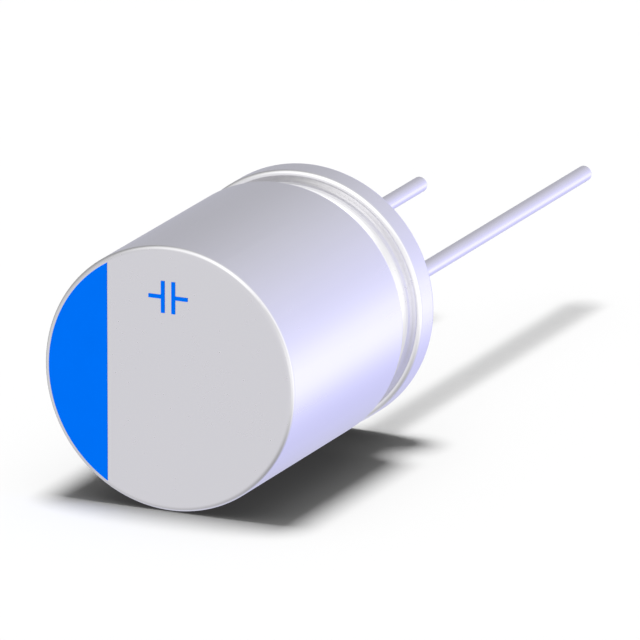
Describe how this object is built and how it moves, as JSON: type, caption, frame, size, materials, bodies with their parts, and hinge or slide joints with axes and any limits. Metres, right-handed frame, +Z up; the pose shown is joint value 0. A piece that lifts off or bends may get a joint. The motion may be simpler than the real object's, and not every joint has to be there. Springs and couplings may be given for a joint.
{
  "type": "polymer capacitor",
  "caption": "Radial polymer capacitor that stores charge: round aluminium can with a blue polarity mark, rolled bead groove, rubber bung, wound foils inside and straight tinned leads.",
  "frame": {"origin": "centre of the seating plane, where the can's curled edge meets the board, on the can's axis and midway between the leads", "axes": "+Y along the leads and away from the can, so the marked end faces -Y; +X towards the long anode lead; +Z up as the part lies on its side, with the printed symbol above the axis"},
  "size_m": [0.01, 0.0315, 0.01],
  "materials": {
    "can_aluminium": "smooth satin drawn aluminium",
    "blue_ink": "flat printed ink",
    "bung_rubber": "dull moulded rubber",
    "tinned_wire": "soft bright tin plate over copper-clad steel",
    "tab_aluminium": "pressed aluminium",
    "etched_foil": "dull grey etched and formed foil",
    "plain_foil": "finely etched foil",
    "separator_paper": "fibre paper darkened by the polymer",
    "amber_tape": "thin amber film"
  },
  "bodies": {
    "root": {"can": "can_aluminium", "polarity_mark": "blue_ink", "circuit_symbol": "blue_ink", "sealing_bung": "bung_rubber", "anode_lead_wire": "tinned_wire", "cathode_lead_wire": "tinned_wire", "anode_tab": "tab_aluminium", "cathode_tab": "tab_aluminium", "anode_foil": "etched_foil", "cathode_foil": "plain_foil", "inner_separator": "separator_paper", "outer_separator": "separator_paper", "closing_tape": "amber_tape"}
  },
  "joints": []
}
